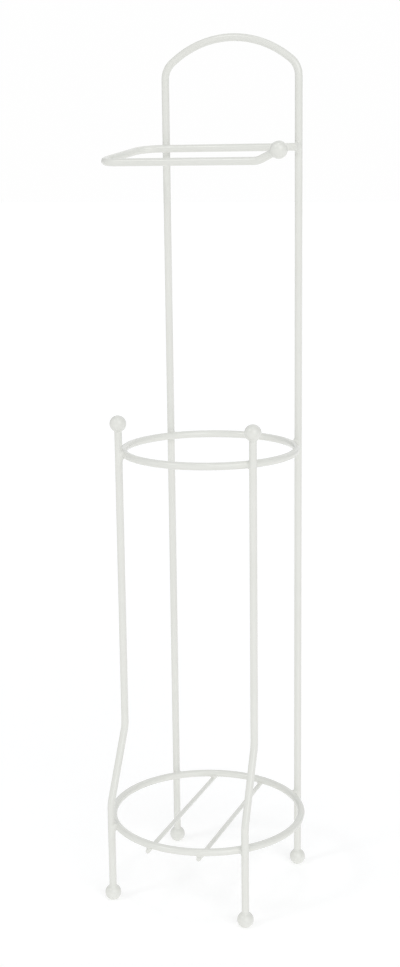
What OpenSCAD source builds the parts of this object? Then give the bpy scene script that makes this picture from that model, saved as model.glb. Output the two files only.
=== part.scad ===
// Free-standing storage holder of powder-coated steel wire: a tall arched rear frame, two short front
// legs with ball finials, an upper guide ring, a wider base ring with two cross wires, and a hanging arm.
// Millimetres. +Z is up, -Y is the front. The origin is on the floor, on the axis of the base ring.

/* [Wire and balls] */
// Diameter of the main wire of the frame, legs, rings and arm
wire_d = 5; // [4:0.1:6]
// Diameter of the two thinner wires that carry the load
cross_wire_d = 3; // [2:0.1:4]
// Diameter of the balls on the feet, finials and arm
ball_d = 11; // [9:0.1:14]
// Depth of the blind socket that each wire end seats in, from the top of the ball
socket_depth = 5; // [3:0.1:6]
// Depth of the flat ground under each foot ball
foot_flat = 0.25; // [0.1:0.05:0.6]

/* [Rear frame] */
// Gap between the axes of the two rear legs, and of the front legs above their bend
leg_gap = 96; // [84:1:108]
// Height of the top of the arch above the floor
frame_h = 580; // [540:1:640]
// Radius of the arch along the middle of the wire
arch_r = 68.5; // [62:0.5:84]
// Radius of the two shoulder bends along the middle of the wire
shoulder_r = 14; // [8:0.5:20]

/* [Guide ring and front legs] */
// Diameter of the upper ring along the middle of the wire
guide_ring_d = 116; // [112:1:130]
// Height of the upper ring
guide_ring_z = 309; // [250:1:318]
// Height of the middle of the finial balls
finial_z = 330; // [322:1:400]
// Height at which the front legs start to slant forward
slant_top_z = 120; // [105:1:200]
// Height at which the front legs are upright again
slant_low_z = 70; // [62:1:90]
// Radius of the two slant bends along the middle of the wire
slant_r = 20; // [8:1:40]
// Gap between the axes of the two front feet
front_foot_gap = 99; // [88:1:110]

/* [Base] */
// Diameter of the base ring along the middle of the wire
base_ring_d = 131; // [122:1:144]
// Height of the base ring
base_ring_z = 53.5; // [40:0.5:60]
// Gap between the two cross wires
cross_gap = 36; // [24:1:60]
// Length of each cross wire past the middle of the ring's wire
cross_overhang = 3.5; // [3:0.5:8]
// Angle that the pair of cross wires is turned by on the ring
cross_turn = 4; // [-6:0.5:6]

/* [Hanging arm] */
// Distance from the top of the arch down to the bar that crosses the two rear legs
bar_drop = 73.5; // [50:0.5:110]
// Drop from the bar to the arm in front of it
arm_drop = 8.5; // [0:0.5:16]
// Distance from the bar forward to the arm
arm_reach = 65; // [50:1:75]
// Length of bar past the axis of the left leg, before its bend
arm_side = 2.5; // [2.5:0.5:8]
// Radius of the arm's two corner bends along the middle of the wire
arm_bend_r = 13; // [9:1:20]
// Distance from the right leg out to the middle of the arm's ball
arm_ball_out = 13.5; // [8:0.5:30]
// Height of the arm's ball above the straight part of the arm
tip_rise = 6.5; // [4:0.5:14]
// Angle that the tip of the arm turns up by
tip_angle = 25; // [15:1:45]
// Radius of the tip bend along the middle of the wire
tip_bend_r = 14; // [6:1:18]

/* [Welds] */
// Depth that welded wires are pressed into each other
weld_set = 0.4; // [0.2:0.05:0.8]
// How far a weld between two main wires is wider than the wire, all round
weld_size = 0.4; // [0.2:0.05:1]
// How far a weld on a cross wire is wider than that wire, all round
cross_weld_size = 0.6; // [0.5:0.05:1]

/* [Hidden] */
$fn = 96;

coat = [0.90, 0.90, 0.88];
LEFT = -1;
RIGHT = 1;

wire_r = wire_d / 2;
ball_r = ball_d / 2;
// how far apart the axes of two welded wires lie
wire_pitch = wire_d - weld_set;
cross_pitch = (wire_d + cross_wire_d) / 2 - weld_set;
weld_r = wire_r + weld_size;
cross_weld_r = cross_wire_d / 2 + cross_weld_size;
// facets of the cuts in the ring welds, which are small beside the ring
weld_fn = 192;

// every leg touches the outside of a ring, so the rings set where the legs stand
leg_x = leg_gap / 2;
base_r = base_ring_d / 2;
guide_r = guide_ring_d / 2;
rear_y = sqrt(pow(base_r + wire_pitch, 2) - pow(leg_x, 2));
guide_y = rear_y - sqrt(pow(guide_r + wire_pitch, 2) - pow(leg_x, 2));
front_y = 2 * guide_y - rear_y;
foot_x = front_foot_gap / 2;
foot_y = -sqrt(pow(base_r + wire_pitch, 2) - pow(foot_x, 2));

// a ball's socket ends this far from its middle, on the side that the wire comes in
seat = ball_r - socket_depth;
foot_z = ball_r - foot_flat;

// arch: the shoulder arcs lie inside both the legs and the arch
arch_mid_z = frame_h - wire_r - arch_r;
shoulder_x = leg_x - shoulder_r;
shoulder_z = arch_mid_z + sqrt(pow(arch_r - shoulder_r, 2) - pow(shoulder_x, 2));
shoulder_angle = atan2(shoulder_z - arch_mid_z, shoulder_x);

// arm: the bar hangs from the arch, so it rises with the frame
bar_y = rear_y - wire_pitch;
bar_z = frame_h - bar_drop;
arm_y = bar_y - arm_reach;
arm_z = bar_z - arm_drop;
arm_tilt = atan2(arm_drop, arm_reach);
side_run = sqrt(pow(arm_reach, 2) + pow(arm_drop, 2));
side_x = -leg_x - arm_side - arm_bend_r;
bar_end_x = leg_x + wire_r / 2;
arm_ball_x = leg_x + arm_ball_out;
arm_ball_z = arm_z + tip_rise;
tip_corner_x = arm_ball_x - tip_rise / tan(tip_angle);

// base wires
cross_z = base_ring_z - cross_pitch;
cross_half = sqrt(pow(base_r, 2) - pow(cross_gap / 2, 2)) + cross_overhang;
end_bevel = cross_wire_d / 6;
// cutting bodies reach this far past what they cut
past = 1;
// a bend is this much fatter all round than the straights, which run on into it by the lap
bend_swell = 0.01;
bend_lap = 0.3;

// Direction of b seen from a, in degrees, for points given as [across, up].
function heading(a, b) = atan2(b[1] - a[1], b[0] - a[0]);
function turn_between(p, q, s) = let (t = heading(q, s) - heading(p, q)) t > 180 ? t - 360 : t < -180 ? t + 360 : t;
// Length that a bend takes from each of the two straights that meet at a corner.
function bend_cut(turn, r) = r * tan(abs(turn) / 2);
function along(p, angle, distance) = [p[0] + distance * cos(angle), p[1] + distance * sin(angle)];

// Straight wire from p to q in the XZ plane.
module straight(p, q) {
    translate([p[0], 0, p[1]])
        rotate([0, 90 - heading(p, q), 0])
            cylinder(d = wire_d, h = norm(q - p));
}

// Curved wire in the XZ plane: an arc of radius r about a middle point.
module arc(middle, r, from, sweep, swell) {
    translate([middle[0], 0, middle[1]])
        rotate([90, 0, 0])
            rotate([0, 0, from])
                rotate_extrude(angle = sweep)
                    translate([r, 0]) circle(d = wire_d + 2 * swell);
}

// The bend that rounds the corner at q between the straights from p and to s.
module corner(p, q, s, r) {
    turn = turn_between(p, q, s);
    start = along(q, heading(p, q), -bend_cut(turn, r));
    middle = along(start, heading(p, q) + 90 * sign(turn), r);
    first = heading(p, q) - 90 * sign(turn);
    arc(middle, r, min(first, first + turn), abs(turn), bend_swell);
}

// Wire bent through a list of points in the XZ plane, with one bend radius for its inner corners.
module bent_wire(points, r) {
    last = len(points) - 1;
    cuts = [for (i = [0 : last]) i == 0 || i == last ? 0 :
        bend_cut(turn_between(points[i - 1], points[i], points[i + 1]), r) - bend_lap];
    for (i = [0 : last - 1]) {
        way = heading(points[i], points[i + 1]);
        straight(along(points[i], way, cuts[i]), along(points[i + 1], way, -cuts[i + 1]));
    }
    for (i = [1 : last - 1])
        corner(points[i - 1], points[i], points[i + 1], r);
}

// Ball with a blind socket for a wire that comes in along +Z.
module socket_ball() {
    difference() {
        sphere(d = ball_d);
        translate([0, 0, seat]) cylinder(d = wire_d, h = socket_depth + past);
    }
}

// Foot ball: the wire comes in from above, and the flat stands on the floor.
module foot_ball(x, y) {
    color(coat) difference() {
        translate([x, y, foot_z]) socket_ball();
        translate([x, y, -foot_flat - past]) cylinder(r = ball_r, h = foot_flat + past);
    }
}

module finial_ball(side) {
    color(coat) translate([side * leg_x, front_y, finial_z]) rotate([180, 0, 0]) socket_ball();
}

// Plain upright length of a leg past a ring, for the saddles and welds.
module leg_cutter(x, y, z) {
    translate([x, y, z - wire_d]) cylinder(d = wire_d, h = 2 * wire_d);
}

// Ring of wire, with the seam of its section on the inside, away from the legs.
module ring(r, y, z) {
    translate([0, y, z]) rotate_extrude() translate([r, 0]) rotate(180) circle(d = wire_d);
}

module guide_ring_legs() {
    for (side = [LEFT, RIGHT], y = [rear_y, front_y])
        leg_cutter(side * leg_x, y, guide_ring_z);
}

module base_ring_legs() {
    for (side = [LEFT, RIGHT]) {
        leg_cutter(side * leg_x, rear_y, base_ring_z);
        leg_cutter(side * foot_x, foot_y, base_ring_z);
    }
}

module rear_arch_frame() {
    lap_angle = bend_lap / arch_r * 180 / PI;
    color(coat) translate([0, rear_y, 0]) {
        for (side = [LEFT, RIGHT])
            straight([side * leg_x, foot_z + seat], [side * leg_x, shoulder_z + bend_lap]);
        arc([shoulder_x, shoulder_z], shoulder_r, 0, shoulder_angle, bend_swell);
        arc([-shoulder_x, shoulder_z], shoulder_r, 180 - shoulder_angle, shoulder_angle, bend_swell);
        arc([0, arch_mid_z], arch_r, shoulder_angle - lap_angle, 180 - 2 * (shoulder_angle - lap_angle), 0);
    }
}

// Front leg on the right side; the left one is its mirror image.
module front_leg() {
    step = [foot_x - leg_x, foot_y - front_y];
    translate([leg_x, front_y, 0])
        rotate([0, 0, atan2(step[1], step[0])])
            bent_wire([
                [0, finial_z - seat],
                [0, slant_top_z],
                [norm(step), slant_low_z],
                [norm(step), foot_z + seat],
            ], slant_r);
}

module front_left_leg() {
    color(coat) mirror([1, 0, 0]) front_leg();
}

module front_right_leg() {
    color(coat) front_leg();
}

module guide_ring() {
    color(coat) difference() {
        ring(guide_r, guide_y, guide_ring_z);
        guide_ring_legs();
    }
}

module base_ring() {
    color(coat) difference() {
        ring(base_r, 0, base_ring_z);
        base_ring_legs();
    }
}

// Straight thin wire with bevelled ends, before the ring's saddles are pressed in.
module cross_rod(side) {
    rotate([0, 0, cross_turn])
        translate([side * cross_gap / 2, -cross_half, cross_z])
            rotate([-90, 0, 0]) {
                cylinder(d1 = cross_wire_d - 2 * end_bevel, d2 = cross_wire_d, h = end_bevel);
                translate([0, 0, end_bevel]) cylinder(d = cross_wire_d, h = 2 * (cross_half - end_bevel));
                translate([0, 0, 2 * cross_half - end_bevel])
                    cylinder(d1 = cross_wire_d, d2 = cross_wire_d - 2 * end_bevel, h = end_bevel);
            }
}

module cross_wire(side) {
    color(coat) difference() {
        cross_rod(side);
        ring(base_r, 0, base_ring_z);
    }
}

// The bar, the side run and both its bends lie in one plane, tilted forward by the arm's drop.
// The arm starts inside the second bend and turns up at its tip.
module arm_wire() {
    translate([0, bar_y, bar_z])
        rotate([90 + arm_tilt, 0, 0]) {
            bent_wire([[bar_end_x, 0], [side_x, 0], [side_x, side_run - arm_bend_r + bend_lap]], arm_bend_r);
            corner([side_x, 0], [side_x, side_run], [0, side_run], arm_bend_r);
        }
    translate([0, arm_y, arm_z])
        bent_wire([
            [side_x + arm_bend_r - bend_lap, 0],
            [tip_corner_x, 0],
            along([tip_corner_x, 0], tip_angle, tip_rise / sin(tip_angle) - seat),
        ], tip_bend_r);
}

module hanging_arm() {
    color(coat) difference() {
        arm_wire();
        for (side = [LEFT, RIGHT]) leg_cutter(side * leg_x, rear_y, bar_z);
    }
}

module arm_ball() {
    color(coat) translate([arm_ball_x, arm_y, arm_ball_z]) rotate([0, -90 - tip_angle, 0]) socket_ball();
}

// Weld where a ring touches the leg at x, y: a bead that fills the corner round the contact.
module ring_weld(x, y, ring_r, ring_y, z) {
    $fn = weld_fn;
    share = (ring_r + wire_r - weld_set / 2) / (ring_r + wire_pitch);
    difference() {
        translate([x * share, ring_y + (y - ring_y) * share, z]) sphere(r = weld_r);
        ring(ring_r, ring_y, z);
        leg_cutter(x, y, z);
    }
}

module guide_ring_welds() {
    color(coat)
        for (side = [LEFT, RIGHT], y = [rear_y, front_y])
            ring_weld(side * leg_x, y, guide_r, guide_y, guide_ring_z);
}

module base_ring_welds() {
    color(coat)
        for (side = [LEFT, RIGHT]) {
            ring_weld(side * leg_x, rear_y, base_r, 0, base_ring_z);
            ring_weld(side * foot_x, foot_y, base_r, 0, base_ring_z);
        }
}

module cross_wire_welds() {
    color(coat)
        for (side = [LEFT, RIGHT], end = [-1, 1])
            difference() {
                rotate([0, 0, cross_turn])
                    translate([side * cross_gap / 2, end * (cross_half - cross_overhang), cross_z + cross_wire_d / 2])
                        sphere(r = cross_weld_r);
                ring(base_r, 0, base_ring_z);
                cross_rod(side);
            }
}

module arm_welds() {
    color(coat)
        for (side = [LEFT, RIGHT])
            difference() {
                translate([side * leg_x, rear_y - wire_pitch / 2, bar_z]) sphere(r = weld_r);
                arm_wire();
                leg_cutter(side * leg_x, rear_y, bar_z);
            }
}

rear_arch_frame();
front_left_leg();
front_right_leg();
guide_ring();
base_ring();
cross_wire(LEFT);  // left_cross_wire
cross_wire(RIGHT);  // right_cross_wire
hanging_arm();
arm_ball();
finial_ball(LEFT);  // left_finial_ball
finial_ball(RIGHT);  // right_finial_ball
foot_ball(-leg_x, rear_y);  // rear_left_foot_ball
foot_ball(leg_x, rear_y);  // rear_right_foot_ball
foot_ball(-foot_x, foot_y);  // front_left_foot_ball
foot_ball(foot_x, foot_y);  // front_right_foot_ball
guide_ring_welds();
base_ring_welds();
cross_wire_welds();
arm_welds();
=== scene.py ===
"""Looks of a free-standing holder made of steel wire with an off-white powder coat.

Every wire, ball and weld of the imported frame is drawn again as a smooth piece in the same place: wires
are swept from end to end as on a bending jig, balls are turned on a lathe with a neck of pooled coat, and
each weld is the rounded corner that the coat leaves between two wires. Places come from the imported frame,
and a size that a node's box can't tell, such as a bend's radius, is a named field. Lengths are in metres,
through the value MM. The front of the stand faces -Y.
"""

import logging
import math
from dataclasses import dataclass, field
from enum import Enum
from typing import Callable, ClassVar

import bmesh
import bpy
from mathutils import Matrix, Vector


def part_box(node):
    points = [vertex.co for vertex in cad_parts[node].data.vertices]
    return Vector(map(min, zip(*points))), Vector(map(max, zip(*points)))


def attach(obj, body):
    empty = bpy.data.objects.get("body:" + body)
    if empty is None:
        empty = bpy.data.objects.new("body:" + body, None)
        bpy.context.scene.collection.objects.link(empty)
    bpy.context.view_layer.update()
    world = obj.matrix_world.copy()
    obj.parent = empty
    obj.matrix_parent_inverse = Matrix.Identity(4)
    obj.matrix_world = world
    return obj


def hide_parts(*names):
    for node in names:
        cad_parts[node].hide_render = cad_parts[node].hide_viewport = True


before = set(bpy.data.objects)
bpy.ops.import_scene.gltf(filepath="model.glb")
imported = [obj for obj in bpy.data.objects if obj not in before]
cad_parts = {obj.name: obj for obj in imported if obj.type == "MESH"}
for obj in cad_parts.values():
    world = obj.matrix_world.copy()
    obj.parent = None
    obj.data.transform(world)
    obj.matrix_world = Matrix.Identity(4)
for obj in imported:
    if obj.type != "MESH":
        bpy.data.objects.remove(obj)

LOG = logging.getLogger("wire_holder")
MM = 0.001
BODY = "root"
UP = Vector((0, 0, 1))
RIGHTWARD = Vector((1, 0, 0))
BACKWARD = Vector((0, 1, 0))
WHITE = (1.0, 1.0, 1.0, 1.0)
# most that a bend or a ring turns by from one section of the wire to the next
ROUND_STEP = math.radians(2.5)
# faces that meet at more than this angle keep a sharp edge
SHARP_ANGLE = math.radians(32)

Distance = Callable[[Vector], float]


class Slot(Enum):
    """Material slots of the record that the pieces take their finish from."""

    WIRE = "coated_wire"
    THIN_WIRE = "coated_thin_wire"
    BALL = "coated_ball"
    WELD = "coated_weld"


class Side(Enum):
    """The two sides of the stand, as seen from the front."""

    LEFT = -1
    RIGHT = 1

    @property
    def word(self) -> str:
        """The side as the names of nodes and pieces say it."""
        return self.name.lower()


class WireEnd(Enum):
    """How a wire ends, with the share of its diameter that the rim is rounded by.

    A seated end is hidden in a ball's socket, and a cut end shows.
    """

    SEATED = 0.0
    CUT = 0.22


@dataclass(frozen=True)
class PowderCoat:
    """An off-white powder coat: a satin film with fine orange peel, whose shade and gloss vary a little.

    The roughness stays below 0.27 everywhere. Where it crosses that, the denoised picture has dark specks
    along the line.

    Attributes:
        name: Name of the material.
        tint: Colour where the coat is full, as linear red, green and blue.
        thin_tint: Colour where the coat is thin.
        smooth: Roughness of the glossiest places.
        rough: Roughness of the dullest places.
        ior: Refractive index of the film.
        peel_size: Width of one dimple of the orange peel.
        peel_depth: Depth of the orange peel.
        wave_size: Length over which the shade varies.
        gloss_patches: How many patches of gloss lie along that length.
    """

    SHADE_DETAIL: ClassVar[float] = 3.0
    GLOSS_DETAIL: ClassVar[float] = 2.0
    PEEL_DETAIL: ClassVar[float] = 1.5
    NOISE_LOW: ClassVar[float] = 0.3
    NOISE_HIGH: ClassVar[float] = 0.7

    name: str
    tint: tuple[float, float, float] = (0.775, 0.779, 0.740)
    thin_tint: tuple[float, float, float] = (0.760, 0.765, 0.724)
    smooth: float = 0.2
    rough: float = 0.26
    ior: float = 1.52
    peel_size: float = 1.3 * MM
    peel_depth: float = 0.012 * MM
    wave_size: float = 22 * MM
    gloss_patches: int = 3

    def build(self) -> bpy.types.Material:
        """Makes the material.

        Returns:
            The material, which reads Object coordinates.
        """
        material = bpy.data.materials.new(self.name)
        material.use_nodes = True
        tree = material.node_tree
        shader = tree.nodes["Principled BSDF"]
        shader.inputs["Metallic"].default_value = 0.0
        shader.inputs["IOR"].default_value = self.ior
        place = tree.nodes.new("ShaderNodeTexCoord")

        wave = self._noise(tree, place, self.wave_size, self.SHADE_DETAIL)
        shade = tree.nodes.new("ShaderNodeMix")
        shade.data_type = "RGBA"
        shade.inputs["A"].default_value = (*self.thin_tint, 1.0)
        shade.inputs["B"].default_value = (*self.tint, 1.0)
        tree.links.new(self._spread(tree, wave, 0.0, 1.0), shade.inputs["Factor"])
        tree.links.new(shade.outputs["Result"], shader.inputs["Base Color"])

        gloss = self._noise(tree, place, self.wave_size / self.gloss_patches, self.GLOSS_DETAIL)
        tree.links.new(self._spread(tree, gloss, self.smooth, self.rough), shader.inputs["Roughness"])

        peel = self._noise(tree, place, self.peel_size, self.PEEL_DETAIL)
        bump = tree.nodes.new("ShaderNodeBump")
        bump.inputs["Strength"].default_value = 1.0
        bump.inputs["Distance"].default_value = self.peel_depth
        tree.links.new(peel, bump.inputs["Height"])
        tree.links.new(bump.outputs["Normal"], shader.inputs["Normal"])
        return material

    @staticmethod
    def _noise(
        tree: bpy.types.NodeTree, place: bpy.types.Node, size: float, detail: float
    ) -> bpy.types.NodeSocket:
        """Adds a noise whose features are about size wide.

        Args:
            tree: Node tree of the material.
            place: Texture coordinate node.
            size: Width of a feature.
            detail: Octaves of finer noise on top.

        Returns:
            The noise's value, around 0.5.
        """
        noise = tree.nodes.new("ShaderNodeTexNoise")
        noise.inputs["Scale"].default_value = 1.0 / size
        noise.inputs["Detail"].default_value = detail
        tree.links.new(place.outputs["Object"], noise.inputs["Vector"])
        return noise.outputs["Fac"]

    def _spread(
        self, tree: bpy.types.NodeTree, value: bpy.types.NodeSocket, low: float, high: float
    ) -> bpy.types.NodeSocket:
        """Stretches the middle of a noise over a range.

        Args:
            tree: Node tree of the material.
            value: The noise.
            low: Result where the noise is low.
            high: Result where it is high.

        Returns:
            The stretched value.
        """
        spread = tree.nodes.new("ShaderNodeMapRange")
        spread.interpolation_type = "SMOOTHSTEP"
        spread.inputs["From Min"].default_value = self.NOISE_LOW
        spread.inputs["From Max"].default_value = self.NOISE_HIGH
        spread.inputs["To Min"].default_value = low
        spread.inputs["To Max"].default_value = high
        tree.links.new(value, spread.inputs["Value"])
        return spread.outputs["Result"]


class Wire:
    """A round wire that is drawn from one end to the other, straight by straight and bend by bend."""

    SIDES = 40
    RIM_STEPS = 5

    def __init__(self, radius: float, start: Vector, heading: Vector) -> None:
        """Starts the wire with its first end.

        Args:
            radius: Radius of the wire.
            start: Middle of the first end.
            heading: Direction that the wire leaves in.
        """
        self.radius = radius
        self.place = start.copy()
        self.heading = heading.normalized()
        self.mesh = bmesh.new()
        turn = UP.rotation_difference(self.heading).to_matrix().to_4x4()
        made = bmesh.ops.create_circle(
            self.mesh, segments=self.SIDES, radius=radius, matrix=Matrix.Translation(start) @ turn
        )
        self.first_rim = list({edge for vert in made["verts"] for edge in vert.link_edges})
        self.rim = list(self.first_rim)

    def straight(self, length: float) -> "Wire":
        """Carries the wire straight on.

        Args:
            length: Length of the straight.

        Returns:
            The wire.
        """
        grown = bmesh.ops.extrude_edge_only(self.mesh, edges=self.rim)["geom"]
        verts = {item for item in grown if isinstance(item, bmesh.types.BMVert)}
        bmesh.ops.translate(self.mesh, verts=list(verts), vec=self.heading * length)
        self.rim = [
            item for item in grown if isinstance(item, bmesh.types.BMEdge) and set(item.verts) <= verts
        ]
        self.place += self.heading * length
        return self

    def bend(self, radius: float, angle: float, axis: Vector) -> "Wire":
        """Bends the wire about an axis.

        Args:
            radius: Radius of the bend along the middle of the wire.
            angle: Angle of the bend, positive.
            axis: Axis that the heading turns about, by the right-hand rule.

        Returns:
            The wire.
        """
        middle = self.place + axis.cross(self.heading) * radius
        verts = list({vert for edge in self.rim for vert in edge.verts})
        spun = bmesh.ops.spin(
            self.mesh,
            geom=verts + self.rim,
            cent=middle,
            axis=axis,
            angle=angle,
            steps=math.ceil(angle / ROUND_STEP),
            use_merge=False,
            use_duplicate=False,
        )
        self.rim = [item for item in spun["geom_last"] if isinstance(item, bmesh.types.BMEdge)]
        turn = Matrix.Rotation(angle, 3, axis)
        self.place = middle + turn @ (self.place - middle)
        self.heading = turn @ self.heading
        return self

    def close(self, first: WireEnd, last: WireEnd) -> bmesh.types.BMesh:
        """Closes both ends of the wire and rounds those that were cut.

        Args:
            first: How the first end ends.
            last: How the last end ends.

        Returns:
            The wire's mesh.
        """
        for rim, end in ((self.first_rim, first), (self.rim, last)):
            bmesh.ops.edgeloop_fill(self.mesh, edges=rim)
            if end.value:
                bmesh.ops.bevel(
                    self.mesh,
                    geom=rim,
                    offset=end.value * 2 * self.radius,
                    segments=self.RIM_STEPS,
                    profile=0.5,
                    affect="EDGES",
                    material=-1,
                )
        return self.mesh


class Lathe:
    """A profile in the XZ plane that grows point by point and is turned about the Z axis."""

    TURNS = 56
    MERGE_REACH = 0.001 * MM

    def __init__(self, start: tuple[float, float]) -> None:
        """Starts the profile at (radius, height)."""
        self.mesh = bmesh.new()
        self.tip = self.mesh.verts.new((start[0], 0, start[1]))

    def line(self, to: tuple[float, float]) -> "Lathe":
        """Carries the profile on in a straight line.

        Args:
            to: End of the line as (radius, height).

        Returns:
            The lathe.
        """
        grown = bmesh.ops.extrude_vert_indiv(self.mesh, verts=[self.tip])
        self.tip = grown["verts"][0]
        self.tip.co = Vector((to[0], 0, to[1]))
        return self

    def arc(self, middle: tuple[float, float], angle: float, steps: int) -> "Lathe":
        """Carries the profile on along an arc.

        Args:
            middle: Middle of the arc as (radius, height).
            angle: Angle of the arc, positive from the radius axis towards the height axis.
            steps: Edges along the arc.

        Returns:
            The lathe.
        """
        spun = bmesh.ops.spin(
            self.mesh,
            geom=[self.tip],
            cent=(middle[0], 0, middle[1]),
            axis=-BACKWARD,
            angle=angle,
            steps=steps,
            use_merge=False,
            use_duplicate=False,
        )
        self.tip = next(item for item in spun["geom_last"] if isinstance(item, bmesh.types.BMVert))
        return self

    def turn(self) -> bmesh.types.BMesh:
        """Turns the profile into a closed solid.

        Returns:
            The solid's mesh.
        """
        bmesh.ops.spin(
            self.mesh,
            geom=self.mesh.verts[:] + self.mesh.edges[:],
            cent=(0, 0, 0),
            axis=UP,
            angle=2 * math.pi,
            steps=self.TURNS,
            use_merge=True,
            use_duplicate=False,
        )
        bmesh.ops.remove_doubles(self.mesh, verts=self.mesh.verts[:], dist=self.MERGE_REACH)
        return self.mesh


def rod_distance(radius: float, start: Vector, end: Vector) -> Distance:
    """Distance from a straight wire with flat ends.

    Args:
        radius: Radius of the wire.
        start: Middle of one end.
        end: Middle of the other end.

    Returns:
        A function of a point, negative inside the wire.
    """
    along = (end - start).normalized()
    half = (end - start).length / 2
    middle = (start + end) / 2

    def distance(point: Vector) -> float:
        """Distance from the rod to a point.

        Args:
            point: The point.

        Returns:
            The distance, negative inside the rod.
        """
        lift = (point - middle).dot(along)
        out = (point - middle - along * lift).length - radius
        past = abs(lift) - half
        return min(max(out, past), 0.0) + math.hypot(max(out, 0.0), max(past, 0.0))

    return distance


def ring_distance(radius: float, ring_radius: float, middle: Vector) -> Distance:
    """Distance from a level ring of wire.

    Args:
        radius: Radius of the wire.
        ring_radius: Radius of the ring along the middle of the wire.
        middle: Middle of the ring.

    Returns:
        A function of a point, negative inside the wire.
    """

    def distance(point: Vector) -> float:
        """Distance from the ring to a point."""
        away = point - middle
        return math.hypot(math.hypot(away.x, away.y) - ring_radius, away.z) - radius

    return distance


@dataclass(frozen=True)
class Upright:
    """A short upright stretch of a leg.

    Attributes:
        radius: Radius of the wire.
        place: Middle of the stretch.
        half: Half of its length.
    """

    radius: float
    place: Vector
    half: float = 15 * MM

    def surface(self) -> Distance:
        """Distance from the stretch."""
        return rod_distance(self.radius, self.place - UP * self.half, self.place + UP * self.half)


@dataclass(frozen=True)
class CoatFillet:
    """The rounded corner that weld and coat leave between two wires.

    Attributes:
        radius: Radius of the corner.
        sink: Depth that the bead lies under the surface of the wires where it isn't a corner.
        reach: Distance from the contact to which the bead goes, inside the wires.
        fineness: Subdivisions of the ball that the bead is shaped from.
        halvings: Times that the search along a ray is halved to find the surface.
    """

    radius: float
    sink: float = 0.04 * MM
    reach: float = 7 * MM
    fineness: int = 5
    halvings: int = 14

    def add(self, mesh: bmesh.types.BMesh, contact: Vector, first: Distance, second: Distance) -> None:
        """Adds one bead to a mesh, by pulling each point of a ball in to the rounded surface of both wires.

        Args:
            mesh: Mesh that the bead is added to.
            contact: A point inside both wires.
            first: Distance from one wire.
            second: Distance from the other wire.
        """
        made = bmesh.ops.create_icosphere(
            mesh, subdivisions=self.fineness, radius=self.reach, matrix=Matrix.Translation(contact)
        )
        for vert in made["verts"]:
            ray = vert.co - contact
            low, high = 0.0, 1.0
            if self._rounded(vert.co, first, second) > 0:
                for _ in range(self.halvings):
                    share = (low + high) / 2
                    if self._rounded(contact + ray * share, first, second) > 0:
                        high = share
                    else:
                        low = share
                vert.co = contact + ray * low

    def _rounded(self, point: Vector, first: Distance, second: Distance) -> float:
        """Distance from both wires together, with the corner between them rounded and the whole sunk in.

        Args:
            point: A point.
            first: Distance from one wire.
            second: Distance from the other wire.

        Returns:
            The distance, negative inside.
        """
        near, far = first(point), second(point)
        corner = math.hypot(max(self.radius - near, 0.0), max(self.radius - far, 0.0))
        return max(self.radius, min(near, far)) - corner + self.sink


@dataclass
class Coats:
    """The materials of the stand, made once and handed out by slot.

    Attributes:
        wire: Coat on the main wires.
        thin_wire: Coat on the cross wires.
        ball: Coat on the balls, a little glossier.
        weld: Coat on the welds, where it pools.
        made: The finished material of each slot.
    """

    wire: PowderCoat = PowderCoat("satin_coat_on_wire")
    thin_wire: PowderCoat = PowderCoat("satin_coat_on_thin_wire", peel_size=1.0 * MM)
    ball: PowderCoat = PowderCoat("satin_coat_on_balls", smooth=0.17, rough=0.24, wave_size=7 * MM)
    weld: PowderCoat = PowderCoat("pooled_coat_on_welds", peel_size=1.6 * MM)
    made: dict[Slot, bpy.types.Material] = field(default_factory=dict)

    def build(self) -> None:
        """Makes every material."""
        self.made = {
            Slot.WIRE: self.wire.build(),
            Slot.THIN_WIRE: self.thin_wire.build(),
            Slot.BALL: self.ball.build(),
            Slot.WELD: self.weld.build(),
        }


def middle_of(node: str) -> Vector:
    """Middle of a node's box."""
    low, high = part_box(node)
    return (low + high) / 2


def place_piece(mesh: bmesh.types.BMesh, name: str, slot: Slot, coats: Coats, *nodes: str) -> None:
    """Makes a finished piece of a mesh, which stands for nodes of the frame.

    Args:
        mesh: The mesh, which is used up.
        name: Name of the piece.
        slot: Slot that its finish comes from.
        coats: The materials.
        nodes: Nodes that the piece replaces.
    """
    bmesh.ops.recalc_face_normals(mesh, faces=mesh.faces[:])
    for face in mesh.faces:
        face.smooth = True
    for edge in mesh.edges:
        edge.smooth = edge.calc_face_angle(0.0) < SHARP_ANGLE
    data = bpy.data.meshes.new(name)
    mesh.to_mesh(data)
    mesh.free()
    data.materials.append(coats.made[slot])
    piece = bpy.data.objects.new(name, data)
    bpy.context.scene.collection.objects.link(piece)
    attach(piece, BODY)
    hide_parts(*nodes)
    LOG.info("%s stands for %s, with %d faces", name, ", ".join(nodes), len(data.polygons))


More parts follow.
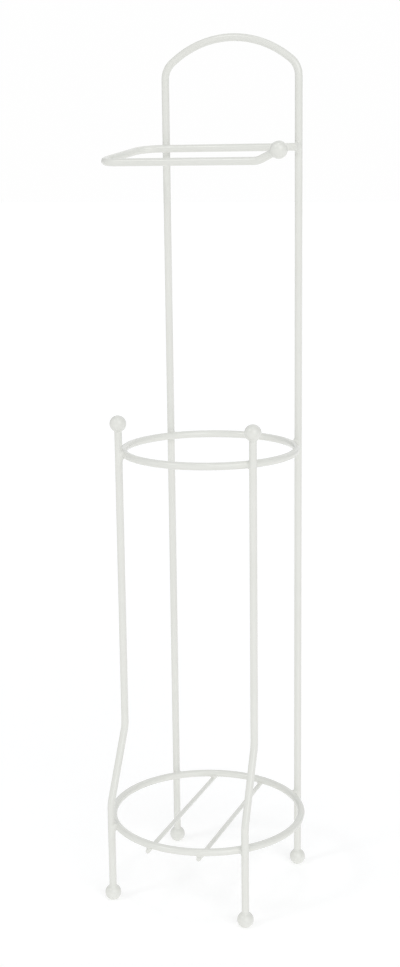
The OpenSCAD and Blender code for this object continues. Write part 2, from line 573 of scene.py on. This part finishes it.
@dataclass
class Ring:
    """A level ring of wire, whose place and size come from the frame.

    Attributes:
        node: Node of the ring.
        wire_r: Radius of the wire.
        radius: Radius of the ring along the middle of the wire.
        middle: Middle of the ring.
    """

    node: str
    wire_r: float = field(init=False)
    radius: float = field(init=False)
    middle: Vector = field(init=False)

    def __post_init__(self) -> None:
        """Reads the ring's place from the frame."""
        low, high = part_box(self.node)
        self.wire_r = (high.z - low.z) / 2
        self.radius = (high.x - low.x) / 2 - self.wire_r
        self.middle = middle_of(self.node)

    def build(self, coats: Coats) -> None:
        """Sweeps the wire's section round the ring.

        Args:
            coats: The materials.
        """
        mesh = bmesh.new()
        across = Matrix.Rotation(math.pi / 2, 4, "X")
        start = Matrix.Translation(self.middle + RIGHTWARD * self.radius) @ across
        made = bmesh.ops.create_circle(mesh, segments=Wire.SIDES, radius=self.wire_r, matrix=start)
        edges = list({edge for vert in made["verts"] for edge in vert.link_edges})
        bmesh.ops.spin(
            mesh,
            geom=made["verts"] + edges,
            cent=self.middle,
            axis=UP,
            angle=2 * math.pi,
            steps=math.ceil(2 * math.pi / ROUND_STEP),
            use_merge=True,
            use_duplicate=False,
        )
        place_piece(mesh, f"{self.node}_wire", Slot.WIRE, coats, self.node)

    def surface(self) -> Distance:
        """Distance from the ring."""
        return ring_distance(self.wire_r, self.radius, self.middle)


@dataclass
class RearArch:
    """The tall rear frame: two legs, two shoulders and an arch in one wire.

    Attributes:
        wire_r: Radius of the wire.
        arch_r: Radius of the arch along the middle of the wire.
        shoulder_r: Radius of the shoulders along the middle of the wire.
        foot_z: Height of the wire's ends, in the feet.
        top_z: Height of the top of the arch.
        leg_x: Distance of a leg from the middle of the stand.
        y: Place of the frame from front to back.
    """

    wire_r: float
    arch_r: float = 68.5 * MM
    shoulder_r: float = 14 * MM
    foot_z: float = field(init=False)
    top_z: float = field(init=False)
    leg_x: float = field(init=False)
    y: float = field(init=False)

    def __post_init__(self) -> None:
        """Reads the legs' places from the frame."""
        low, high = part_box("rear_arch_frame")
        self.foot_z = low.z
        self.top_z = high.z
        self.leg_x = (high.x - low.x) / 2 - self.wire_r
        self.y = (low.y + high.y) / 2

    def build(self, coats: Coats) -> None:
        """Bends the frame from its left foot over the arch to its right foot.

        Args:
            coats: The materials.
        """
        arch_mid_z = self.top_z - self.wire_r - self.arch_r
        shoulder_x = self.leg_x - self.shoulder_r
        shoulder_z = arch_mid_z + math.sqrt((self.arch_r - self.shoulder_r) ** 2 - shoulder_x**2)
        shoulder_angle = math.atan2(shoulder_z - arch_mid_z, shoulder_x)
        wire = Wire(self.wire_r, Vector((-self.leg_x, self.y, self.foot_z)), UP)
        wire.straight(shoulder_z - self.foot_z)
        wire.bend(self.shoulder_r, shoulder_angle, BACKWARD)
        wire.bend(self.arch_r, math.pi - 2 * shoulder_angle, BACKWARD)
        wire.bend(self.shoulder_r, shoulder_angle, BACKWARD)
        wire.straight(shoulder_z - self.foot_z)
        mesh = wire.close(WireEnd.SEATED, WireEnd.SEATED)
        place_piece(mesh, "rear_arch_wire", Slot.WIRE, coats, "rear_arch_frame")

    def leg(self, side: Side, z: float) -> Upright:
        """The leg on a side, at a height."""
        return Upright(self.wire_r, Vector((side.value * self.leg_x, self.y, z)))


@dataclass
class FrontLegs:
    """The two short front legs, which slant forward above the base ring.

    Attributes:
        wire_r: Radius of the wire.
        slant_top_z: Height of the upper corner of the slant.
        slant_low_z: Height of the lower corner of the slant.
        slant_r: Radius of the two bends along the middle of the wire.
        top: Upper end of the right leg.
        foot: Lower end of the right leg.
    """

    wire_r: float
    slant_top_z: float = 120 * MM
    slant_low_z: float = 70 * MM
    slant_r: float = 20 * MM
    top: Vector = field(init=False)
    foot: Vector = field(init=False)

    def __post_init__(self) -> None:
        """Reads the right leg's two ends from the frame; the left leg is its mirror image."""
        low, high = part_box("front_right_leg")
        self.top = Vector((low.x + self.wire_r, high.y - self.wire_r, high.z))
        self.foot = Vector((high.x - self.wire_r, low.y + self.wire_r, low.z))

    def build(self, coats: Coats) -> None:
        """Bends both legs from the finial down to the foot.

        Args:
            coats: The materials.
        """
        for side in Side:
            mirror = Matrix.Diagonal((side.value, 1, 1))
            top, foot = mirror @ self.top, mirror @ self.foot
            step = Vector((foot.x - top.x, foot.y - top.y, 0))
            drop = self.slant_top_z - self.slant_low_z
            angle = math.atan2(step.length, drop)
            cut = self.slant_r * math.tan(angle / 2)
            axis = (-UP).cross(step).normalized()
            wire = Wire(self.wire_r, top, -UP)
            wire.straight(top.z - self.slant_top_z - cut)
            wire.bend(self.slant_r, angle, axis)
            wire.straight(math.hypot(step.length, drop) - 2 * cut)
            wire.bend(self.slant_r, angle, -axis)
            wire.straight(self.slant_low_z - cut - foot.z)
            node = f"front_{side.word}_leg"
            mesh = wire.close(WireEnd.SEATED, WireEnd.SEATED)
            place_piece(mesh, f"{node}_wire", Slot.WIRE, coats, node)

    def upper(self, side: Side, z: float) -> Upright:
        """The leg on a side above its slant, at a height."""
        return Upright(self.wire_r, Vector((side.value * self.top.x, self.top.y, z)))

    def lower(self, side: Side, z: float) -> Upright:
        """The leg on a side below its slant, at a height."""
        return Upright(self.wire_r, Vector((side.value * self.foot.x, self.foot.y, z)))


@dataclass
class CrossWires:
    """The two thin wires under the base ring that carry the load.

    Attributes:
        turn: Angle that the pair is turned by on the ring.
        radius: Radius of the wires.
        ends: Front and back end of the wire on each side.
    """

    turn: float = math.radians(4)
    radius: float = field(init=False)
    ends: dict[Side, tuple[Vector, Vector]] = field(init=False)

    def __post_init__(self) -> None:
        """Reads both wires' middles and ends from the frame."""
        along = Vector((-math.sin(self.turn), math.cos(self.turn), 0))
        self.ends = {}
        for side in Side:
            node = f"{side.word}_cross_wire"
            low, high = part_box(node)
            self.radius = (high.z - low.z) / 2
            half = (high.y - low.y) / 2 / along.y * along
            middle = middle_of(node)
            self.ends[side] = (middle - half, middle + half)

    def build(self, coats: Coats) -> None:
        """Cuts both wires to length and rounds their ends.

        Args:
            coats: The materials.
        """
        for side, (front, back) in self.ends.items():
            wire = Wire(self.radius, front, back - front).straight((back - front).length)
            mesh = wire.close(WireEnd.CUT, WireEnd.CUT)
            place_piece(mesh, f"{side.word}_cross_rod", Slot.THIN_WIRE, coats, f"{side.word}_cross_wire")

    def surface(self, side: Side) -> Distance:
        """Distance from the wire on a side."""
        return rod_distance(self.radius, *self.ends[side])

    def contacts(self, side: Side, ring: Ring) -> list[Vector]:
        """Points where the wire on a side crosses under the middle of a ring's wire.

        Args:
            side: The wire's side.
            ring: The ring.

        Returns:
            The front and the back point, between both wires.
        """
        front, back = self.ends[side]
        along = (back - front).normalized()
        offset = front - ring.middle
        offset.z = 0
        lean = offset.dot(along)
        reach = math.sqrt(lean**2 - offset.length_squared + ring.radius**2)
        height = (front.z + self.radius + ring.middle.z - ring.wire_r) / 2
        found = [front + along * (-lean - reach), front + along * (-lean + reach)]
        return [Vector((point.x, point.y, height)) for point in found]


@dataclass
class HangingArm:
    """The bar across the rear legs, its side run and the arm with its upturned tip, in one wire.

    Attributes:
        wire_r: Radius of the wire.
        corner_r: Radius of the two corner bends along the middle of the wire.
        tip_angle: Angle that the tip turns up by.
        tip_r: Radius of the tip bend along the middle of the wire.
        seat: Distance from the middle of a ball to the bottom of its socket, where the wire ends.
        overhang: Length of bar past the middle of the right leg, in radii of the wire.
        bar_end: Cut end of the bar.
        corner: Point where the side run and the arm would meet if the corner were sharp.
        ball: Middle of the ball on the tip.
    """

    wire_r: float
    corner_r: float = 13 * MM
    tip_angle: float = math.radians(25)
    tip_r: float = 14 * MM
    seat: float = 0.5 * MM
    overhang: float = 0.5
    bar_end: Vector = field(init=False)
    corner: Vector = field(init=False)
    ball: Vector = field(init=False)

    def __post_init__(self) -> None:
        """Reads the ends and the corner of the arm from the frame."""
        low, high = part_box("hanging_arm")
        leg_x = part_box("rear_arch_frame")[1].x - self.wire_r
        bar_z = middle_of("arm_welds").z
        self.ball = middle_of("arm_ball")
        bar_x = leg_x + self.overhang * self.wire_r
        self.bar_end = Vector((bar_x, high.y - self.wire_r, bar_z))
        self.corner = Vector((low.x + self.wire_r, low.y + self.wire_r, low.z + self.wire_r))

    def build(self, coats: Coats) -> None:
        """Bends the arm from the cut end of the bar to the ball.

        Args:
            coats: The materials.
        """
        run = Vector((0, self.corner.y - self.bar_end.y, self.corner.z - self.bar_end.z))
        axis = (-RIGHTWARD).cross(run).normalized()
        rise = self.ball.z - self.corner.z
        tip_corner_x = self.ball.x - rise / math.tan(self.tip_angle)
        cut = self.tip_r * math.tan(self.tip_angle / 2)
        wire = Wire(self.wire_r, self.bar_end, -RIGHTWARD)
        wire.straight(self.bar_end.x - self.corner.x - self.corner_r)
        wire.bend(self.corner_r, math.pi / 2, axis)
        wire.straight(run.length - 2 * self.corner_r)
        wire.bend(self.corner_r, math.pi / 2, axis)
        wire.straight(tip_corner_x - cut - self.corner.x - self.corner_r)
        wire.bend(self.tip_r, self.tip_angle, -BACKWARD)
        wire.straight(rise / math.sin(self.tip_angle) - cut - self.seat)
        mesh = wire.close(WireEnd.CUT, WireEnd.SEATED)
        place_piece(mesh, "hanging_arm_wire", Slot.WIRE, coats, "hanging_arm")

    def bar_surface(self) -> Distance:
        """Distance from the bar."""
        far_end = Vector((self.corner.x, self.bar_end.y, self.bar_end.z))
        return rod_distance(self.wire_r, far_end, self.bar_end)


@dataclass
class Balls:
    """The balls on the feet, the finials and the arm, each turned with a blind socket and a neck of coat.

    Attributes:
        wire_r: Radius of the wire in the socket.
        arm: The arm, whose tip gives its ball's direction.
        neck_r: Radius of the hollow that the coat leaves where an upright wire enters a ball.
        tip_neck_r: Radius of that hollow on the arm, where more coat gathers.
        ball_steps: Edges of the profile from the bottom of a ball to its neck.
        neck_steps: Edges of the profile along the hollow.
    """

    wire_r: float
    arm: HangingArm
    neck_r: float = 1.2 * MM
    tip_neck_r: float = 2.4 * MM
    ball_steps: int = 32
    neck_steps: int = 10

    def turned(self, radius: float, flat: float, neck: float) -> bmesh.types.BMesh:
        """Turns one ball about its middle, with the wire coming in from above.

        Args:
            radius: Radius of the ball.
            flat: Height that the flat takes off the ball, or 0 for a whole ball.
            neck: Radius of the hollow at the wire.

        Returns:
            The ball's mesh.
        """
        foot = radius - flat
        foot_r = math.sqrt(radius**2 - foot**2)
        neck_z = math.sqrt((radius + neck) ** 2 - (self.wire_r + neck) ** 2)
        neck_angle = math.atan2(neck_z, self.wire_r + neck)
        start_angle = -math.atan2(foot, foot_r)
        profile = Lathe((0.0, -foot))
        if flat:
            profile.line((foot_r, -foot))
        profile.arc((0.0, 0.0), neck_angle - start_angle, self.ball_steps)
        profile.arc((self.wire_r + neck, neck_z), -neck_angle, self.neck_steps)
        profile.line((self.wire_r, self.arm.seat))
        profile.line((0.0, self.arm.seat))
        return profile.turn()

    def place(
        self, coats: Coats, node: str, name: str, middle: Vector, up: Vector, flat: float, neck: float
    ) -> None:
        """Turns the ball of a node and puts it in its place.

        Args:
            coats: The materials.
            node: Node that the ball stands for.
            name: Name of the piece.
            middle: Middle of the ball.
            up: Direction that the wire comes from.
            flat: Height that the flat takes off the ball, or 0 for a whole ball.
            neck: Radius of the hollow at the wire.
        """
        mesh = self.turned(self.radius(node), flat, neck)
        turn = UP.rotation_difference(up).to_matrix().to_4x4()
        bmesh.ops.transform(mesh, matrix=Matrix.Translation(middle) @ turn, verts=mesh.verts[:])
        place_piece(mesh, name, Slot.BALL, coats, node)

    def build(self, coats: Coats) -> None:
        """Turns and places every ball.

        Args:
            coats: The materials.
        """
        for side in Side:
            for foot in (f"rear_{side.word}_foot", f"front_{side.word}_foot"):
                node = f"{foot}_ball"
                middle = middle_of(node)
                middle.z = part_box(node)[1].z - self.mouth(node)
                flat = self.radius(node) - middle.z
                self.place(coats, node, f"{foot}_end", middle, UP, flat, self.neck_r)
            node = f"{side.word}_finial_ball"
            middle = middle_of(node)
            middle.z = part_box(node)[0].z + self.mouth(node)
            self.place(coats, node, f"{side.word}_finial", middle, -UP, 0.0, self.neck_r)
        tip = Vector((-math.cos(self.arm.tip_angle), 0, -math.sin(self.arm.tip_angle)))
        self.place(coats, "arm_ball", "arm_end_ball", self.arm.ball, tip, 0.0, self.tip_neck_r)

    def radius(self, node: str) -> float:
        """Radius of the ball of a node."""
        low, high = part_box(node)
        return (high.y - low.y) / 2

    def mouth(self, node: str) -> float:
        """Distance from the middle of a node's ball to the mouth of its socket."""
        return math.sqrt(self.radius(node) ** 2 - self.wire_r**2)


@dataclass
class Welds:
    """The welds, each drawn as the rounded corner between the two wires that it joins.

    Attributes:
        guide: The guide ring.
        base: The base ring.
        rear: The rear frame.
        legs: The front legs.
        cross: The cross wires.
        arm: The arm.
        main: Corner between two main wires.
        thin: Corner between a main wire and a cross wire.
    """

    guide: Ring
    base: Ring
    rear: RearArch
    legs: FrontLegs
    cross: CrossWires
    arm: HangingArm
    main: CoatFillet = CoatFillet(2.6 * MM)
    thin: CoatFillet = CoatFillet(1.7 * MM, reach=5 * MM)

    def build(self, coats: Coats) -> None:
        """Makes the four groups of welds.

        Args:
            coats: The materials.
        """
        self._ring(coats, self.guide, self.legs.upper)
        self._ring(coats, self.base, self.legs.lower)
        self._cross_wires(coats)
        self._bar(coats)

    def _ring(self, coats: Coats, ring: Ring, front_leg: Callable[[Side, float], Upright]) -> None:
        """Welds a ring to the four legs.

        Args:
            coats: The materials.
            ring: The ring.
            front_leg: Gives the stretch of the front leg on a side, at a height.
        """
        mesh = bmesh.new()
        for side in Side:
            for leg in (self.rear.leg(side, ring.middle.z), front_leg(side, ring.middle.z)):
                out = leg.place - ring.middle
                contact = ring.middle + out.normalized() * (ring.radius + out.length) / 2
                self.main.add(mesh, contact, leg.surface(), ring.surface())
        place_piece(mesh, f"{ring.node}_weld_beads", Slot.WELD, coats, f"{ring.node}_welds")

    def _cross_wires(self, coats: Coats) -> None:
        """Welds the cross wires under the base ring.

        Args:
            coats: The materials.
        """
        mesh = bmesh.new()
        for side in Side:
            for contact in self.cross.contacts(side, self.base):
                self.thin.add(mesh, contact, self.cross.surface(side), self.base.surface())
        place_piece(mesh, "cross_wire_weld_beads", Slot.WELD, coats, "cross_wire_welds")

    def _bar(self, coats: Coats) -> None:
        """Welds the arm's bar to the rear legs.

        Args:
            coats: The materials.
        """
        mesh = bmesh.new()
        y = (self.arm.bar_end.y + self.rear.y) / 2
        for side in Side:
            contact = Vector((side.value * self.rear.leg_x, y, self.arm.bar_end.z))
            leg = self.rear.leg(side, self.arm.bar_end.z)
            self.main.add(mesh, contact, leg.surface(), self.arm.bar_surface())
        place_piece(mesh, "arm_weld_beads", Slot.WELD, coats, "arm_welds")


@dataclass(frozen=True)
class Softbox:
    """A large soft light, far away, so that it falls evenly on the whole floor.

    Attributes:
        name: Name of the light.
        bearing: Direction that it stands in, from straight in front towards the right, in degrees.
        lift: Angle above the horizon, in degrees.
        spread: Angle that it spans, in degrees.
        strength: Its strength on a surface that faces it.
    """

    name: str
    bearing: float
    lift: float
    spread: float
    strength: float

    def build(self) -> None:
        """Hangs the light."""
        data = bpy.data.lights.new(self.name, "SUN")
        data.angle = math.radians(self.spread)
        data.energy = self.strength
        light = bpy.data.objects.new(self.name, data)
        light.rotation_euler = (math.radians(90 - self.lift), 0, math.radians(self.bearing))
        bpy.context.scene.collection.objects.link(light)


@dataclass
class Studio:
    """The pale floor, the soft lights and the camera at the photograph's angle.

    Attributes:
        picture_h: Height of the picture in pixels.
        focal_px: Focal length in pixels of the picture.
        sensor: Long side of the sensor in millimetres.
        clip: Nearest and farthest distance that the camera sees.
        camera_place: Where the camera stands.
        yaw: Direction that the camera looks in, turned left of straight ahead.
        pitch: Angle that it looks down by.
        roll: Angle that its right side hangs down by.
        floor_size: Width of the floor.
        floor_tint: Colour of the floor, a sheet of frosted glass.
        floor_glow: Light that comes up through it.
        floor_roughness: Roughness of the floor.
        floor_specular: How much the floor mirrors.
        white: Brightness of the backdrop, the same as the lit floor's.
        room_tint: Dim light that comes from all sides.
        softboxes: The lights.
    """

    picture_h: int = 967
    focal_px: float = 1510.6
    sensor: float = 36.0
    clip: tuple[float, float] = (0.05, 100.0)
    camera_place: tuple[float, float, float] = (0.4084, -0.8972, 0.5006)
    yaw: float = math.radians(24.609)
    pitch: float = math.radians(12.187)
    roll: float = math.radians(0.704)
    floor_size: float = 30.0
    floor_tint: tuple[float, float, float] = (0.66, 0.66, 0.66)
    floor_glow: float = 0.44
    floor_roughness: float = 0.9
    floor_specular: float = 0.1
    white: float = 0.995
    room_tint: tuple[float, float, float] = (0.48, 0.485, 0.49)
    softboxes: tuple[Softbox, ...] = (
        Softbox("key_softbox", bearing=48, lift=30, spread=50, strength=0.95),
        Softbox("small_softbox", bearing=-34, lift=45, spread=12, strength=0.3),
        Softbox("side_softbox", bearing=-65, lift=25, spread=60, strength=0.2),
        Softbox("back_softbox", bearing=190, lift=30, spread=60, strength=0.4),
        Softbox("top_softbox", bearing=0, lift=80, spread=14, strength=0.2),
    )

    def build(self) -> None:
        """Sets the stage."""
        self._floor()
        self._world()
        self._camera()
        for softbox in self.softboxes:
            softbox.build()
        bpy.context.scene.view_settings.view_transform = "Standard"

    def _floor(self) -> None:
        """Lays the floor."""
        mesh = bmesh.new()
        bmesh.ops.create_grid(mesh, x_segments=1, y_segments=1, size=self.floor_size / 2)
        data = bpy.data.meshes.new("floor")
        mesh.to_mesh(data)
        mesh.free()
        material = bpy.data.materials.new("pale_floor")
        material.use_nodes = True
        shader = material.node_tree.nodes["Principled BSDF"]
        shader.inputs["Base Color"].default_value = (*self.floor_tint, 1.0)
        shader.inputs["Emission Color"].default_value = WHITE
        shader.inputs["Emission Strength"].default_value = self.floor_glow
        shader.inputs["Roughness"].default_value = self.floor_roughness
        shader.inputs["Specular IOR Level"].default_value = self.floor_specular
        data.materials.append(material)
        floor = bpy.data.objects.new("floor", data)
        bpy.context.scene.collection.objects.link(floor)

    def _world(self) -> None:
        """Lights the room dimly, and shows it white behind the stand."""
        world = bpy.data.worlds.new("studio_world")
        bpy.context.scene.world = world
        world.use_nodes = True
        tree = world.node_tree
        tree.nodes.clear()
        output = tree.nodes.new("ShaderNodeOutputWorld")
        mix = tree.nodes.new("ShaderNodeMixShader")
        room = tree.nodes.new("ShaderNodeBackground")
        room.inputs["Color"].default_value = (*self.room_tint, 1.0)
        backdrop = tree.nodes.new("ShaderNodeBackground")
        backdrop.inputs["Strength"].default_value = self.white
        backdrop.inputs["Color"].default_value = WHITE
        path = tree.nodes.new("ShaderNodeLightPath")
        tree.links.new(path.outputs["Is Camera Ray"], mix.inputs["Fac"])
        tree.links.new(room.outputs["Background"], mix.inputs[1])
        tree.links.new(backdrop.outputs["Background"], mix.inputs[2])
        tree.links.new(mix.outputs["Shader"], output.inputs["Surface"])

    def _camera(self) -> None:
        """Stands the camera where the photograph was taken from."""
        right = Vector((math.cos(self.yaw), math.sin(self.yaw), 0))
        ahead = Vector(
            (
                -math.sin(self.yaw) * math.cos(self.pitch),
                math.cos(self.yaw) * math.cos(self.pitch),
                -math.sin(self.pitch),
            )
        )
        right = Matrix.Rotation(self.roll, 3, ahead) @ right
        up = right.cross(ahead)
        data = bpy.data.cameras.new("camera")
        data.sensor_fit = "AUTO"
        data.sensor_width = self.sensor
        data.lens = self.focal_px * self.sensor / self.picture_h
        data.clip_start, data.clip_end = self.clip
        camera = bpy.data.objects.new("camera", data)
        turn = Matrix((right, up, -ahead)).transposed().to_4x4()
        camera.matrix_world = Matrix.Translation(Vector(self.camera_place)) @ turn
        bpy.context.scene.collection.objects.link(camera)
        bpy.context.scene.camera = camera


def main() -> None:
    """Builds the stand and the studio."""
    logging.basicConfig(level=logging.INFO, format="%(name)s: %(message)s")
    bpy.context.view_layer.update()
    Studio().build()
    coats = Coats()
    coats.build()
    guide, base = Ring("guide_ring"), Ring("base_ring")
    rear = RearArch(guide.wire_r)
    legs = FrontLegs(guide.wire_r)
    cross = CrossWires()
    arm = HangingArm(guide.wire_r)
    balls = Balls(guide.wire_r, arm)
    welds = Welds(guide, base, rear, legs, cross, arm)
    for part in (guide, base, rear, legs, cross, arm, balls, welds):
        part.build(coats)
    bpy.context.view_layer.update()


if __name__ == "__main__":
    main()
